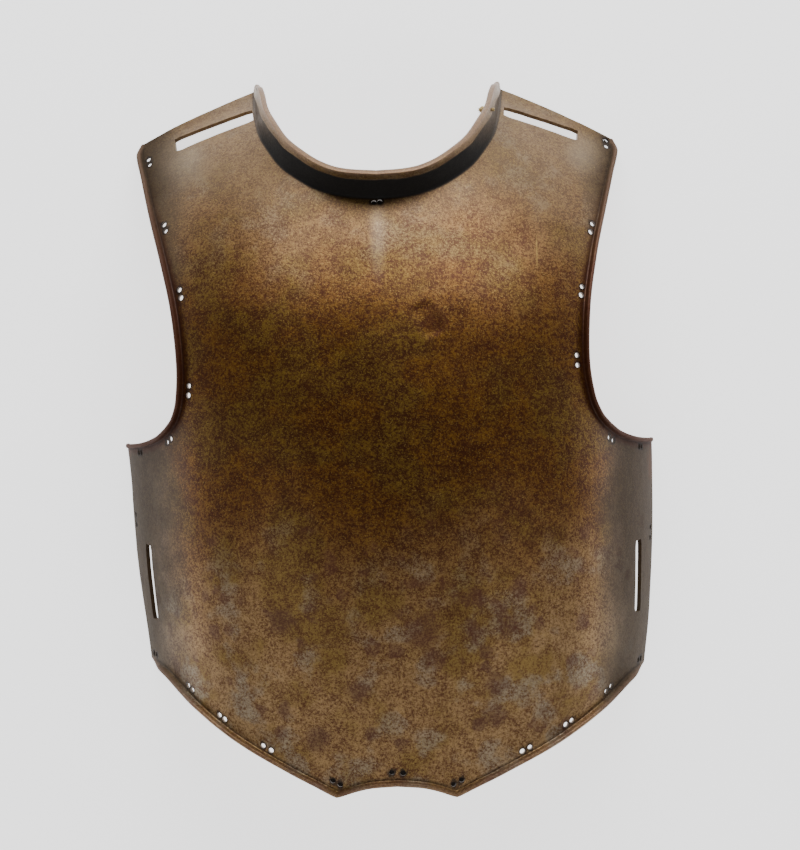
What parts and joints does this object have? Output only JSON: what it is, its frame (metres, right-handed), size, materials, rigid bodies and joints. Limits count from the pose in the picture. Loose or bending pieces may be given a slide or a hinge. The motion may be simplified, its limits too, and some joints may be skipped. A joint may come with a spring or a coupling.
{
  "type": "cuirass breastplate",
  "caption": "Forged iron breastplate with a forward-turned collar, turned armhole and lower edges, strap slots at the shoulders and sides, and lining holes.",
  "frame": {"origin": "middle of the plate's outline seen from the front, at the level of the surface that it lies on", "axes": "+Z out of the front of the chest, +Y towards the neck, +X to the wearer's left"},
  "size_m": [0.3568, 0.478, 0.135],
  "materials": {
    "patinated_iron": "worn brown patina over forged iron",
    "rawhide": "dry and frayed"
  },
  "bodies": {
    "root": {"breastplate": "patinated_iron", "thong_knot": "rawhide"}
  },
  "joints": []
}
